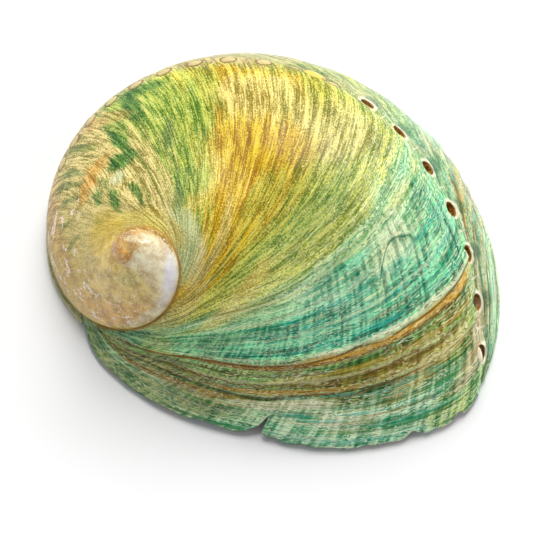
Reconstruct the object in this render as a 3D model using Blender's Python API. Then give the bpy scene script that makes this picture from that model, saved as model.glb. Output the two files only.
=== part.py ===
"""Abalone shell: one ear-shaped shell, coiled to the right round a tilted axis, lying on its rim.

Metres, +Z up. The long axis of the shell runs along X, its newest growth is at +X and its spire at -X.
The shell is one piece, because it grew as one. Every earlier growth line is the present outer lip, turned
back round the coil axis and shrunk towards the apex, so one lip outline and one growth law give the back
of the shell. The keel, which carries the row of pores, and the suture are the same spiral: each whorl
starts on the keel of the one before it.
"""

from math import cos, sin

import bmesh
import bpy
import numpy as np
from mathutils import Matrix, Vector

MM = 0.001

# Coil: a turn back in age by the angle t turns the lip round the axis and shrinks it towards the apex.
APEX = np.array((-18.8, -22.0, 21.2)) * MM
AXIS_TILT = np.radians(32.7)
AXIS_HEADING = np.radians(-102.7)
SHRINK = 0.2643
SHRINK_QUICKENING = 0.0058
WHORL_LAG = np.radians(240.0)

# Outer lip, seen from above, from the suture to the keel; its two ends are points of the keel spiral.
KEEL_START = np.array((43.0, 1.2, 0.8)) * MM
LIP_PLAN = (
    (-19.6, -33.2),
    (-13.5, -35.3),
    (-5.0, -36.1),
    (4.5, -34.7),
    (15.0, -31.1),
    (27.0, -25.8),
    (36.0, -18.8),
    (42.4, -10.3),
    (44.4, -3.8),
)
EDGE_HEIGHT = 0.8 * MM

# Side wall under the keel: how far its foot stands out for its height, at the lip and at the spire.
WALL_SPREAD_AT_LIP = 0.48
WALL_SPREAD_AT_SPIRE = 0.12
WALL_SPREAD_FADE = np.radians((60.0, 190.0))
SPIRE_FLARE = 0.8 * MM
SPIRE_FLARE_SPAN = np.radians((175.0, 220.0))
WALL_ROUNDNESS = 0.5
ARCH_HEIGHT = 2.4 * MM
ARCH_SPAN = np.radians((40.0, 165.0))

# Thickness of the shell, and the flat shelf along the inside of its left edge.
WALL_THICKNESS = 1.9 * MM
LIP_THICKNESS = 0.9 * MM
LIP_TAPER = np.radians(25.0)
LIP_CHAMFER = 0.25 * MM
LIP_LAND = 1.3 * MM
LEAST_CLEARANCE = 0.3 * MM
SHELF_WIDTH = 4.5 * MM
SHELF_RISE = np.radians((20.0, 60.0))
SHELF_FALL = np.radians((130.0, 185.0))

# Open pores along the keel, newest first. They drift from the back onto the wall as they get older.
PORE_AGES = np.radians((5.5, 14.5, 23.5, 32.5, 42.0, 51.5, 61.0))
PORE_DRIFT = np.array((-0.7, 0.5)) * MM
PORE_LENGTH = 2.6 * MM
PORE_WIDTH = 1.65 * MM
PORE_DEPTH = 5.0 * MM
PORE_LEAN = np.radians(38.0)
PORE_SIDES = 10

# Mesh: rows are growth lines, and columns run from the suture over the back and down the wall.
ROWS_PER_LAG = 48
BACK_COLUMNS = 16
WALL_COLUMNS = 4
SPIRE_ROWS = 60
CURVE_STEPS = 24
NORMAL_SMOOTHING = 6
SMALL_TURN = 0.01

COLOUR = (0.36, 0.46, 0.27, 1.0)
ROUGHNESS = 0.35


def ramp(value, start, end):
    """0 before start, 1 after end, and a smooth rise between them."""
    share = np.clip((value - start) / (end - start), 0.0, 1.0)
    return share * share * (3.0 - 2.0 * share)


def coil_axis():
    sideways = np.sin(AXIS_TILT)
    return np.array((sideways * np.cos(AXIS_HEADING), sideways * np.sin(AXIS_HEADING), np.cos(AXIS_TILT)))


def turned_back(points, age):
    """Points of the present lip, where they were when the shell was younger by this angle."""
    axis = coil_axis()
    arms = np.asarray(points) - APEX
    along = np.outer(arms @ axis, axis)
    turned = along + (arms - along) * np.cos(age) + np.cross(axis, arms) * np.sin(age)
    return APEX + turned * np.exp(-(SHRINK * age + SHRINK_QUICKENING * age * age))


def keel(age):
    return turned_back(KEEL_START[None], age)[0]


def smooth_curve(points, count):
    """count + 1 points, evenly spaced along a Catmull-Rom curve through the given ones."""
    ends = np.vstack((2 * points[0] - points[1], points, 2 * points[-1] - points[-2]))
    t = np.linspace(0.0, 1.0, CURVE_STEPS, endpoint=False)[:, None]
    pieces = []
    for a, b, c, d in zip(ends, ends[1:], ends[2:], ends[3:]):
        pieces.append(
            0.5 * (2 * b + (c - a) * t + (2 * a - 5 * b + 4 * c - d) * t**2 + (3 * b - a - 3 * c + d) * t**3)
        )
    dense = np.vstack(pieces + [points[-1:]])
    length = np.concatenate(([0.0], np.cumsum(np.linalg.norm(np.diff(dense, axis=0), axis=1))))
    where = np.linspace(0.0, length[-1], count + 1)
    return np.stack([np.interp(where, length, dense[:, axis]) for axis in range(3)], axis=1)


def outer_lip():
    """The present lip, from the suture to the keel."""
    plan = np.array([(x, y, EDGE_HEIGHT / MM) for x, y in LIP_PLAN]) * MM
    lip = smooth_curve(np.vstack((keel(WHORL_LAG), plan, KEEL_START)), BACK_COLUMNS)
    lip[:, 2] = np.maximum(lip[:, 2], EDGE_HEIGHT)
    return lip


def growth_line(lip, age):
    """The lip at an earlier age. Its first point is drawn onto the keel of the whorl before."""
    line = turned_back(lip, age)
    pull = np.linspace(1.0, 0.0, len(lip))[:, None] ** 2
    return line + pull * (keel(age + WHORL_LAG) - line[0])


def outward(age):
    """Level direction away from the coil, square to the keel."""
    step = keel(age + SMALL_TURN) - keel(age - SMALL_TURN)
    side = np.array((step[1], -step[0], 0.0))
    return side / np.linalg.norm(side)


def rim_height(age):
    """Height of the edge over the surface it lies on: it arches up a little along the left side."""
    start, end = ARCH_SPAN
    share = np.clip((age - start) / (end - start), 0.0, 1.0)
    return EDGE_HEIGHT + ARCH_HEIGHT * np.sin(np.pi * share) ** 2


def wall_line(age):
    """The wall from just under the keel to the edge, a rounded shoulder over a steep side."""
    top = keel(age)
    drop = top[2] - rim_height(age)
    share = WALL_SPREAD_AT_LIP + (WALL_SPREAD_AT_SPIRE - WALL_SPREAD_AT_LIP) * ramp(age, *WALL_SPREAD_FADE)
    spread = drop * share + SPIRE_FLARE * ramp(age, *SPIRE_FLARE_SPAN)
    down = np.linspace(0.0, 1.0, WALL_COLUMNS + 1)[1:]
    out_share = down + WALL_ROUNDNESS * (np.sin(down * np.pi / 2) - down)
    drop_share = down + WALL_ROUNDNESS * (1.0 - np.cos(down * np.pi / 2) - down)
    return top + np.outer(out_share * spread, outward(age)) - np.outer(drop_share * drop, (0.0, 0.0, 1.0))


def outer_surface():
    """Points of the outside with their ages, its faces, and the loop of points along the edge."""
    lip = outer_lip()
    step = WHORL_LAG / ROWS_PER_LAG
    last_row = ROWS_PER_LAG + SPIRE_ROWS
    points = []
    ages = []
    back = []
    for row in range(last_row + 1):
        line = growth_line(lip, row * step)
        own = line if row < ROWS_PER_LAG else line[:-1]
        back.append(list(range(len(points), len(points) + len(own))))
        points.extend(own)
        ages.extend([row * step] * len(own))
        if row >= ROWS_PER_LAG:
            back[row].append(back[row - ROWS_PER_LAG][0])
    wall = [[back[0][-1]] * (WALL_COLUMNS + 1)]
    for row in range(1, ROWS_PER_LAG + 1):
        wall.append([back[row][-1]] + list(range(len(points), len(points) + WALL_COLUMNS)))
        points.extend(wall_line(row * step))
        ages.extend([row * step] * WALL_COLUMNS)
    nucleus = len(points)
    points.append(np.mean([points[row[0]] for row in back[SPIRE_ROWS:]], axis=0))
    ages.append(last_row * step)

    faces = []
    for rows in (back, wall):
        for older, newer in zip(rows[1:], rows):
            for column in range(len(newer) - 1):
                corners = (newer[column], newer[column + 1], older[column + 1], older[column])
                faces.append(tuple(dict.fromkeys(corners)))
    hole = [row[0] for row in back[SPIRE_ROWS:]] + back[last_row][1:]
    faces.extend((a, b, nucleus) for a, b in zip(hole, hole[1:]))
    edge = back[0] + [line[-1] for line in wall[1:]] + wall[-1][-2:0:-1]
    return np.array(points), np.array(ages), faces, edge


def smoothed_normals(points, faces):
    """Outward directions of the points, evened out over their neighbours."""
    normals = np.zeros_like(points)
    pairs = set()
    for face in faces:
        corners = points[list(face)]
        normal = np.cross(corners[1] - corners[0], corners[2] - corners[0])
        normal += np.cross(corners[2] - corners[0], corners[-1] - corners[0])
        normals[list(face)] += normal
        pairs.update(tuple(sorted(pair)) for pair in zip(face, face[1:] + face[:1]))
    ends = np.array(sorted(pairs))
    for _ in range(NORMAL_SMOOTHING):
        normals /= np.linalg.norm(normals, axis=1)[:, None]
        total = normals.copy()
        np.add.at(total, ends[:, 0], normals[ends[:, 1]])
        np.add.at(total, ends[:, 1], normals[ends[:, 0]])
        normals = total
    return normals / np.linalg.norm(normals, axis=1)[:, None]


def level_inward(corners):
    """Level directions from the points of the edge loop towards the inside of the shell."""
    along = np.roll(corners, -1, axis=0) - np.roll(corners, 1, axis=0)
    side = np.stack((-along[:, 1], along[:, 0], np.zeros(len(corners))), axis=1)
    return side / np.linalg.norm(side, axis=1)[:, None]


def inner_surface(points, ages, faces, edge):
    """The outside moved in by the thickness of the shell, and the foot of the edge between the two.

    The edge ends in a level land that the shell lies on, except where it climbs to the suture."""
    thickness = LIP_THICKNESS + (WALL_THICKNESS - LIP_THICKNESS) * ramp(ages, 0.0, LIP_TAPER)
    inner = points - smoothed_normals(points, faces) * thickness[:, None]
    inner[:, 2] = np.maximum(inner[:, 2], LEAST_CLEARANCE)
    foot = (points[edge] + inner[edge]) / 2
    lying = edge[: len(edge) - WALL_COLUMNS + 1]
    shelf = ramp(ages[lying], *SHELF_RISE) * (1.0 - ramp(ages[lying], *SHELF_FALL))
    land = LIP_LAND + (SHELF_WIDTH - LIP_LAND) * shelf
    inward = level_inward(points[edge])[: len(lying)]
    down = np.array((0.0, 0.0, EDGE_HEIGHT))
    inner[lying] = points[lying] + inward * land[:, None] - down
    foot[: len(lying)] = points[lying] + inward * LIP_CHAMFER - down
    return inner, foot


def make_shell():
    """The whole wall of the shell as one closed mesh, standing on its edge over the origin."""
    outer, ages, faces, edge = outer_surface()
    inner, foot = inner_surface(outer, ages, faces, edge)
    points = np.vstack((outer, inner, foot))
    count = len(outer)
    all_faces = list(faces) + [tuple(count + index for index in reversed(face)) for face in faces]
    for spot, (a, b) in enumerate(zip(edge, edge[1:] + edge[:1])):
        c = 2 * count + spot
        d = 2 * count + (spot + 1) % len(edge)
        all_faces.append((b, a, c, d))
        all_faces.append((d, c, count + a, count + b))
    mesh = bpy.data.meshes.new("abalone_shell")
    mesh.from_pydata(points.tolist(), [], all_faces)
    mesh.shade_smooth()
    shell = bpy.data.objects.new("abalone_shell", mesh)
    bpy.context.scene.collection.objects.link(shell)
    return shell


def make_pore_cutter():
    """Oval pegs square to the keel, one for each open pore. They stay a guide and aren't rendered."""
    cutter_mesh = bmesh.new()
    drift = np.linspace(*PORE_DRIFT, len(PORE_AGES))
    for age, aside in zip(PORE_AGES, drift):
        out = Vector(outward(age))
        ahead = Vector(keel(age - SMALL_TURN) - keel(age + SMALL_TURN)).normalized()
        peg_axis = (out * sin(PORE_LEAN) + Vector((0.0, 0.0, cos(PORE_LEAN)))).normalized()
        peg_axis = (peg_axis - ahead * peg_axis.dot(ahead)).normalized()
        across = peg_axis.cross(ahead)
        place = Matrix((ahead * PORE_LENGTH / 2, across * PORE_WIDTH / 2, peg_axis)).transposed().to_4x4()
        place.translation = Vector(keel(age)) + out * aside
        bmesh.ops.create_cone(
            cutter_mesh,
            cap_ends=True,
            segments=PORE_SIDES,
            radius1=1.0,
            radius2=1.0,
            depth=PORE_DEPTH,
            matrix=place,
        )
    bmesh.ops.recalc_face_normals(cutter_mesh, faces=cutter_mesh.faces)
    mesh = bpy.data.meshes.new("pore_cutter")
    cutter_mesh.to_mesh(mesh)
    cutter_mesh.free()
    cutter = bpy.data.objects.new("pore_cutter", mesh)
    cutter.hide_render = True
    cutter.display_type = "WIRE"
    bpy.context.scene.collection.objects.link(cutter)
    return cutter


def open_pores(shell, cutter):
    cut = shell.modifiers.new("pores", "BOOLEAN")
    cut.operation = "DIFFERENCE"
    cut.solver = "EXACT"
    cut.object = cutter


def clear_scene():
    for obj in list(bpy.data.objects):
        bpy.data.objects.remove(obj, do_unlink=True)


def shell_material():
    material = bpy.data.materials.new("polished_shell")
    material.use_nodes = True
    surface = material.node_tree.nodes["Principled BSDF"]
    surface.inputs["Base Color"].default_value = COLOUR
    surface.inputs["Roughness"].default_value = ROUGHNESS
    surface.inputs["Metallic"].default_value = 0.0
    return material


def main():
    clear_scene()
    shell = make_shell()
    shell.data.materials.append(shell_material())
    open_pores(shell, make_pore_cutter())


if __name__ == "__main__":
    main()
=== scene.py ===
"""Looks of the polished abalone shell: its surface, colours, stage, light and camera.

One closed mesh takes the place of the CAD shell. It follows the same growth law and constants as the CAD
model, on a much finer net, and adds what that leaves out: growth ridges, scars, plugs in the closed pores,
chips in the lip. Every point keeps its age (how far the shell had grown, as an angle round the coil) and
its place across the whorl, and the material is painted in those two.
"""

import bpy
import numpy as np
from mathutils import Matrix, Vector
from mathutils.bvhtree import BVHTree
from mathutils.interpolate import poly_3d_calc


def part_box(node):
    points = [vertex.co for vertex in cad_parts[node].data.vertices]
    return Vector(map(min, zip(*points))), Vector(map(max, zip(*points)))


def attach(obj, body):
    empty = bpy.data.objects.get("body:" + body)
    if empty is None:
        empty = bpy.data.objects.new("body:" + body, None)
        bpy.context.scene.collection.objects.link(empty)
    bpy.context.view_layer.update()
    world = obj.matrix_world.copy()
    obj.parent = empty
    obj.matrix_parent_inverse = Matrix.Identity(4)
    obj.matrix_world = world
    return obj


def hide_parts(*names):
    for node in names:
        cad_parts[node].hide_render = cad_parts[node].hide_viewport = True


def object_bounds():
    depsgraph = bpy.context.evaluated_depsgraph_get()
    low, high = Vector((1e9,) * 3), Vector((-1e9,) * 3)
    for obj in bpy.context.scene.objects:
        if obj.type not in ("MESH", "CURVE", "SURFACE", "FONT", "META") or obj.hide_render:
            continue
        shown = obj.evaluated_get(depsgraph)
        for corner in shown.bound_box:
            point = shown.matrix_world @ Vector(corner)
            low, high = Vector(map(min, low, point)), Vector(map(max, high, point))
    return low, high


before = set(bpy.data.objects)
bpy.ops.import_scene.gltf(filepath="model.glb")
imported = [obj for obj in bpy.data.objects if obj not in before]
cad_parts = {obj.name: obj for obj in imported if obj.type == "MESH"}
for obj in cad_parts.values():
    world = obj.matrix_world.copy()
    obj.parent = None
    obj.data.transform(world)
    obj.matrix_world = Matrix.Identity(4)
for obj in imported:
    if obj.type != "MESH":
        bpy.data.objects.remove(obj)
CAD_LOW, CAD_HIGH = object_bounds()

MM = 0.001
NODE = "abalone_shell"

# The growth law and the outline, as in the CAD model.
APEX = np.array((-18.8, -22.0, 21.2)) * MM
AXIS_TILT = np.radians(32.7)
AXIS_HEADING = np.radians(-102.7)
SHRINK = 0.2643
SHRINK_QUICKENING = 0.0058
WHORL_LAG = np.radians(240.0)
KEEL_START = np.array((43.0, 1.2, 0.8)) * MM
LIP_PLAN = (
    (-19.6, -33.2),
    (-13.5, -35.3),
    (-5.0, -36.1),
    (4.5, -34.7),
    (15.0, -31.1),
    (27.0, -25.8),
    (36.0, -18.8),
    (42.4, -10.3),
    (44.4, -3.8),
)
EDGE_HEIGHT = 0.8 * MM
WALL_SPREAD_AT_LIP = 0.48
WALL_SPREAD_AT_SPIRE = 0.12
WALL_SPREAD_FADE = np.radians((60.0, 190.0))
SPIRE_FLARE = 0.8 * MM
SPIRE_FLARE_SPAN = np.radians((175.0, 220.0))
WALL_ROUNDNESS = 0.5
ARCH_HEIGHT = 2.4 * MM
ARCH_SPAN = np.radians((40.0, 165.0))
WALL_THICKNESS = 1.9 * MM
LIP_THICKNESS = 0.9 * MM
LIP_TAPER = np.radians(25.0)
LIP_CHAMFER = 0.25 * MM
LIP_LAND = 1.3 * MM
LEAST_CLEARANCE = 0.3 * MM
SHELF_WIDTH = 4.5 * MM
SHELF_RISE = np.radians((20.0, 60.0))
SHELF_FALL = np.radians((130.0, 185.0))
PORE_AGES = np.radians((5.5, 14.5, 23.5, 32.5, 42.0, 51.5, 61.0))
PORE_DRIFT = np.array((-0.7, 0.5)) * MM
PORE_LENGTH = 2.6 * MM
PORE_WIDTH = 1.65 * MM
PORE_SIDES = 28
# Rings of the pegs that cut the pores, from the inside out: lean from upright, rise and size.
PEG_RINGS = (
    (0.66, -2.6 * MM, 0.85),
    (0.66, -1.0 * MM, 0.9),
    (0.3, 0.0 * MM, 1.12),
    (0.15, 2.4 * MM, 1.3),
)
# Past this age no point belongs to a pore: it is set far aside from the row, in degrees and mm.
PORE_ROW_END = 200.0
FAR_ASIDE = 50.0
SMALL_TURN = 0.01
UPRIGHT = np.array((0.0, 0.0, 1.0))
UP_TILT = (0.35, 0.94)
CURVE_STEPS = 24

# The fine net. Rows are growth lines, a little further apart towards the spire; each whorl of the spire
# has fewer rows and columns than the one outside it.
BODY_ROWS = 408
ROW_STRETCH = 2.5
BACK_COLUMNS = 132
WALL_COLUMNS = 24
SPIRE_SKIPS = ((3, 2), (2, 2))
COLUMN_CROWDS = ((1.0, 0.08, 1.8), (0.745, 0.07, 1.4), (0.472, 0.018, 2.5))
WALL_CROWDING = 1.2

# The inside of the shell has a coarser net of its own: every few rows and columns of the outside.
INNER_ROW_SKIP = 3
INNER_COLUMN_SKIP = 2
INNER_SPIRE_SKIPS = ((2, 2), (2, 1))
OUTER_END_AGE = np.radians(720.1)
INNER_END_AGE = np.radians(540.0)
INNER_SMOOTHING = 40
RELIEF_SMOOTHING = 2
STEP_ROUNDS = 5
EDGE_RELIEF_SHARE = 0.4

# The rounded edge: how far in and down its loop lies, and how far towards the inside it and the foot lie
# where the edge climbs at the end of the wall.
RIM_ROUNDING = 0.07 * MM
ROUNDED_DROP = 0.55
ROUNDED_CLIMB = 0.2
FOOT_CLIMB = 0.5

# Growth lines bulge back from turned copies of the lip, most of all near the suture, and hook forward
# where they meet it. On the wall they run nearly along the edge. In degrees of growth.
BULGE_SPAN = (0.06, 0.5)
BULGE_STEPS = (
    (6.0, 0.0, 12.0),
    (7.0, 10.0, 32.0),
    (-10.0, 70.0, 105.0),
    (25.0, 150.0, 200.0),
    (15.0, 200.0, 250.0),
)
BULGE_SPREAD = 0.35
HOOK = 22.0
HOOK_WIDTH = 0.035
WALL_SHEAR = 30.0

# Pores that have grown shut, newest first: age in degrees and place across. Three crowd together, and
# the older ones are evenly spaced and lie further and further in.
CLOSED_PORES = [(71.0 + 5.0 * count, 0.985) for count in range(3)]
CLOSED_PORES += [(92.0 + 10.0 * count, 0.93 - 0.0075 * count) for count in range(9)]

# Chips in the lip: place across, width and depth in degrees of growth.
LIP_CHIPS = (
    (0.472, 0.0045, 5.0),
    (0.466, 0.016, 2.4),
    (0.36, 0.02, 0.9),
    (0.795, 0.012, 1.3),
    (0.815, 0.006, 1.0),
    (0.70, 0.012, 0.7),
    (0.90, 0.010, 0.9),
    (0.955, 0.012, 0.9),
)
RECESS_SPAN = 9.0

# The foot of the side wall runs on under the start of the lip, so that the two meet.
FOOT_REACH = np.radians(3.5)
FOOT_SPAN = (220.0, 240.0)

# The old whorl in the middle stands out like a pearl: how high, over which ages and places across.
DOME_HEIGHT = 0.8
DOME_AGES = (255.0, 330.0)
DOME_CORE = (480.0, 540.0)
DOME_SHOULDER = (0.42, 1.0)

# A healed wound on the back: where it is, in degrees and across, and its pleats.
SCAR_AGE = 43.5
SCAR_PLACE = 0.745
SCAR_WIDTH = 0.065
SCAR_ARCH_LEFT = 6.5
SCAR_ARCH_RIGHT = 3.6
SCAR_STEP = 0.2
PLEAT_SPACING = 0.0135
PLEAT_HEIGHT = 0.06

# Growth along the middle of the lip, mm for each radian; and the closed pore that has a callus, by count.
FRONT_SPEED = 34.0
CALLUS = 8

# Strong growth checks: age in degrees, height of the step in mm.
CHECKS = ((14.5, 0.33), (18.5, 0.24), (25.0, 0.51), (37.0, 0.21), (51.0, 0.21), (64.0, 0.15), (150.0, 0.12))

# The shell's paints, each with the colour of its dark and of its light streaks.
PAINTS = {
    "aqua": (0x48B890, 0xECFFE8),
    "teal": (0x189078, 0x94F8D0),
    "deep_teal": (0x0C7458, 0x48C8A0),
    "sea": (0x48A068, 0xE0FFD0),
    "jade": (0x1C8860, 0xA4F0B4),
    "leaf": (0x609038, 0xD4DC80),
    "moss": (0x307030, 0x80AC58),
    "sage": (0x588450, 0xA8B070),
    "fern": (0x285C10, 0x90CC68),
    "thicket": (0x4C6C20, 0xA0AC50),
    "olive": (0x788424, 0xDCD870),
    "lemon": (0x849830, 0xF8F48C),
    "bronze": (0x886C10, 0xBC9C38),
    "gold": (0xB08800, 0xF4DC48),
    "deep_gold": (0xA88000, 0xE8C824),
    "honey": (0xB49418, 0xFCE478),
    "butter": (0xD0B050, 0xFFFCA8),
    "khaki": (0x9C9040, 0xDCD494),
    "cream": (0xC8D09C, 0xFCFCE4),
    "straw": (0xA09850, 0xFCECB0),
    "sand": (0xAC8C50, 0xFFE898),
    "tan": (0xA07C44, 0xE8C888),
    "amber": (0xB48428, 0xF8CC78),
    "rose": (0xC8A880, 0xFFFFE4),
    # The palest paint: the pearl's own pale colour with a painted highlight in it.
    "pearl_and_highlight": (0xE8E4F8, 0xFFFFFF),
    "buff": (0xB8A078, 0xE6D4BA),
}

# The paint laid down at each growth line, in degrees before the lip.
RAMP_DEGREES = 600.0
GROWTH_BANDS = (
    (0.0, "sea"),
    (9.0, "sea"),
    (12.0, "thicket"),
    (20.0, "fern"),
    (27.0, "jade"),
    (40.0, "jade"),
    (47.0, "sea"),
    (56.0, "lemon"),
    (76.0, "olive"),
    (95.0, "honey"),
    (110.0, "honey"),
    (122.0, "lemon"),
    (136.0, "leaf"),
    (156.0, "straw"),
    (210.0, "straw"),
    (250.0, "sand"),
    (320.0, "sand"),
    (365.0, "rose"),
    (405.0, "rose"),
    (440.0, "tan"),
    (510.0, "tan"),
    (560.0, "amber"),
)

# Strokes of other paints: the ends of a stroke (age in degrees, place across), reach in degrees,
# softness and strength.
CHART_DEGREES = 120.0
PATCH_SOFTNESS = 0.65
PATCHES = (
    # Near the lip.
    ("sage", (5, 0.04), (7, 0.34), 7.0, 0.35, 0.85),
    ("aqua", (4, 0.5), (5, 0.9), 7.0, 0.4, 0.6),
    ("bronze", (17.5, 0.08), (14, 0.34), 2.0, 0.3, 0.95),
    ("thicket", (25, 0.06), (23, 0.3), 3.6, 0.4, 0.85),
    ("cream", (12.2, 0.38), (12, 0.6), 1.9, 0.3, 0.95),
    ("cream", (8, 0.58), (6, 0.68), 2.6, 0.4, 0.8),
    ("leaf", (3, 0.86), (6, 0.95), 5.0, 0.4, 0.7),
    ("thicket", (22, 0.84), (20.5, 0.95), 2.2, 0.4, 0.8),
    ("fern", (21.5, 0.4), (20.5, 0.46), 2.4, 0.4, 0.8),
    ("moss", (21, 0.6), (19, 0.62), 2.4, 0.4, 0.7),
    ("thicket", (15, 0.6), (13, 0.64), 1.8, 0.4, 0.8),
    ("khaki", (19, 0.44), (18.5, 0.54), 1.6, 0.4, 0.7),
    ("thicket", (10, 0.72), (12, 0.76), 1.8, 0.4, 0.7),
    ("khaki", (12.5, 0.73), (16, 0.9), 2.6, 0.35, 0.9),
    ("buff", (9, 0.92), (15, 1.02), 4.2, 0.4, 0.85),
    ("cream", (46.5, 0.7), (46, 0.77), 3.2, 0.4, 0.95),
    ("cream", (41, 0.72), (40, 0.77), 2.8, 0.4, 0.9),
    # The turquoise band.
    ("teal", (36, 0.34), (33, 0.86), 8.0, 0.5, 0.8),
    ("deep_teal", (27, 0.66), (29, 0.74), 4.0, 0.4, 0.85),
    ("teal", (44, 0.5), (46, 0.66), 4.0, 0.45, 0.75),
    ("deep_teal", (27, 0.905), (48, 0.885), 2.6, 0.4, 0.85),
    ("leaf", (36, 0.1), (50, 0.06), 5.0, 0.4, 0.7),
    ("sea", (38, 0.68), (52, 0.76), 5.0, 0.5, 0.7),
    ("aqua", (34, 0.62), (48, 0.45), 3.0, 0.5, 0.5),
    # Olive, gold and yellow.
    ("lemon", (56, 0.12), (55, 0.6), 4.0, 0.5, 0.5),
    ("leaf", (74, 0.28), (64, 0.7), 5.5, 0.5, 0.75),
    ("olive", (86, 0.36), (84, 0.56), 5.0, 0.5, 0.6),
    ("straw", (66, 0.02), (100, 0.12), 7.0, 0.5, 0.7),
    ("gold", (84, 0.1), (85, 0.42), 1.6, 0.5, 0.8),
    ("gold", (92.5, 0.06), (93.5, 0.36), 1.5, 0.5, 0.8),
    ("gold", (106, 0.08), (109.5, 0.46), 2.4, 0.5, 0.9),
    ("straw", (99, 0.12), (101, 0.34), 4.0, 0.5, 0.6),
    ("butter", (58, 0.2), (66, 0.34), 6.0, 0.5, 0.7),
    ("straw", (66, 0.86), (82, 0.7), 8.0, 0.5, 0.7),
    ("leaf", (86, 0.94), (124, 0.9), 5.0, 0.5, 0.6),
    ("gold", (84, 0.66), (112, 0.5), 9.0, 0.5, 0.85),
    ("deep_gold", (92, 0.66), (94, 0.48), 1.8, 0.6, 0.8),
    ("deep_gold", (84, 0.7), (85, 0.56), 1.6, 0.6, 0.7),
    ("butter", (112, 0.46), (134, 0.22), 6.0, 0.5, 0.8),
    ("straw", (88, 0.82), (104, 0.72), 9.0, 0.5, 0.7),
    ("leaf", (112, 0.84), (120, 0.56), 6.0, 0.5, 0.6),
    ("cream", (114, 0.08), (150, 0.1), 13.0, 0.4, 0.6),
    ("butter", (146, 0.06), (196, 0.05), 9.0, 0.4, 0.6),
    # The green field.
    ("leaf", (122, 0.38), (148, 0.21), 6.5, 0.45, 0.85),
    ("sage", (139, 0.27), (146, 0.21), 4.0, 0.4, 0.8),
    ("leaf", (124, 0.5), (136, 0.86), 13.0, 0.4, 0.6),
    ("moss", (129, 0.84), (138, 0.85), 4.5, 0.4, 0.8),
    ("leaf", (148, 0.78), (156, 0.6), 5.0, 0.45, 0.75),
    ("moss", (139, 0.8), (143, 0.68), 3.6, 0.4, 0.85),
    ("sage", (132, 0.62), (137, 0.48), 2.2, 0.4, 0.75),
    # Dark blotches on the older part.
    ("moss", (159, 0.5), (169, 0.49), 5.5, 0.35, 0.95),
    ("moss", (157, 0.56), (156, 0.66), 3.6, 0.4, 0.9),
    ("moss", (174, 0.3), (182, 0.18), 3.4, 0.4, 0.8),
    ("moss", (188, 0.36), (200, 0.26), 3.6, 0.4, 0.8),
    ("moss", (199, 0.26), (212, 0.17), 3.2, 0.4, 0.75),
    ("moss", (191, 0.43), (202, 0.38), 3.2, 0.4, 0.75),
    ("sage", (182, 0.46), (186, 0.4), 2.6, 0.4, 0.6),
    ("sage", (221, 0.32), (226, 0.26), 3.4, 0.5, 0.6),
    ("thicket", (186, 0.58), (187, 0.84), 2.4, 0.5, 0.75),
    ("sage", (196, 0.56), (197, 0.72), 1.8, 0.5, 0.55),
    ("thicket", (210, 0.6), (212, 0.74), 2.6, 0.5, 0.75),
    ("sage", (225, 0.48), (228, 0.6), 2.4, 0.5, 0.6),
    ("thicket", (166, 0.7), (166, 0.86), 2.6, 0.5, 0.75),
    ("sage", (179, 0.62), (180, 0.8), 2.0, 0.5, 0.6),
    ("amber", (170, 0.58), (198, 0.52), 4.6, 0.5, 0.7),
    ("cream", (172, 0.42), (178, 0.4), 4.0, 0.5, 0.7),
    ("straw", (146, 0.33), (160, 0.14), 5.5, 0.5, 0.75),
    ("tan", (146, 0.74), (156, 0.84), 5.0, 0.5, 0.5),
    ("butter", (182, 0.03), (236, 0.1), 9.0, 0.5, 0.7),
    ("tan", (196, 0.86), (236, 0.72), 16.0, 0.5, 0.75),
    # The old whorl and the pearl in its middle.
    ("honey", (232, 0.22), (285, 0.08), 20.0, 0.5, 0.6),
    ("straw", (366, 0.3), (335, 0.32), 15.0, 0.5, 0.75),
    ("amber", (262, 0.78), (312, 0.7), 15.0, 0.5, 0.7),
    ("sand", (215, 0.8), (245, 0.78), 13.0, 0.5, 0.7),
    ("rose", (300, 0.88), (332, 0.86), 10.0, 0.4, 0.7),
    # A painted highlight on the pearl's right side, over its own pale colour.
    ("pearl_and_highlight", (346, 0.84), (384, 0.78), 12.0, 1.0, 0.85),
    ("rose", (400, 0.7), (450, 0.62), 12.0, 0.5, 0.85),
    ("bronze", (395, 0.92), (500, 0.82), 8.0, 0.4, 0.8),
    ("rose", (475, 0.48), (500, 0.4), 14.0, 0.5, 0.7),
    # Below the keel.
    ("sage", (18, 1.3), (110, 1.3), 40.0, 0.4, 0.6),
    ("buff", (136, 1.5), (240, 1.4), 46.0, 0.25, 0.8),
    ("olive", (66, 1.3), (84, 1.6), 14.0, 0.4, 0.5),
    ("buff", (96, 0.95), (134, 0.95), 8.0, 0.5, 0.6),
    ("sage", (118, 1.8), (132, 1.8), 14.0, 0.5, 0.6),
    ("thicket", (208, 1.6), (246, 1.5), 30.0, 0.4, 0.8),
)

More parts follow.
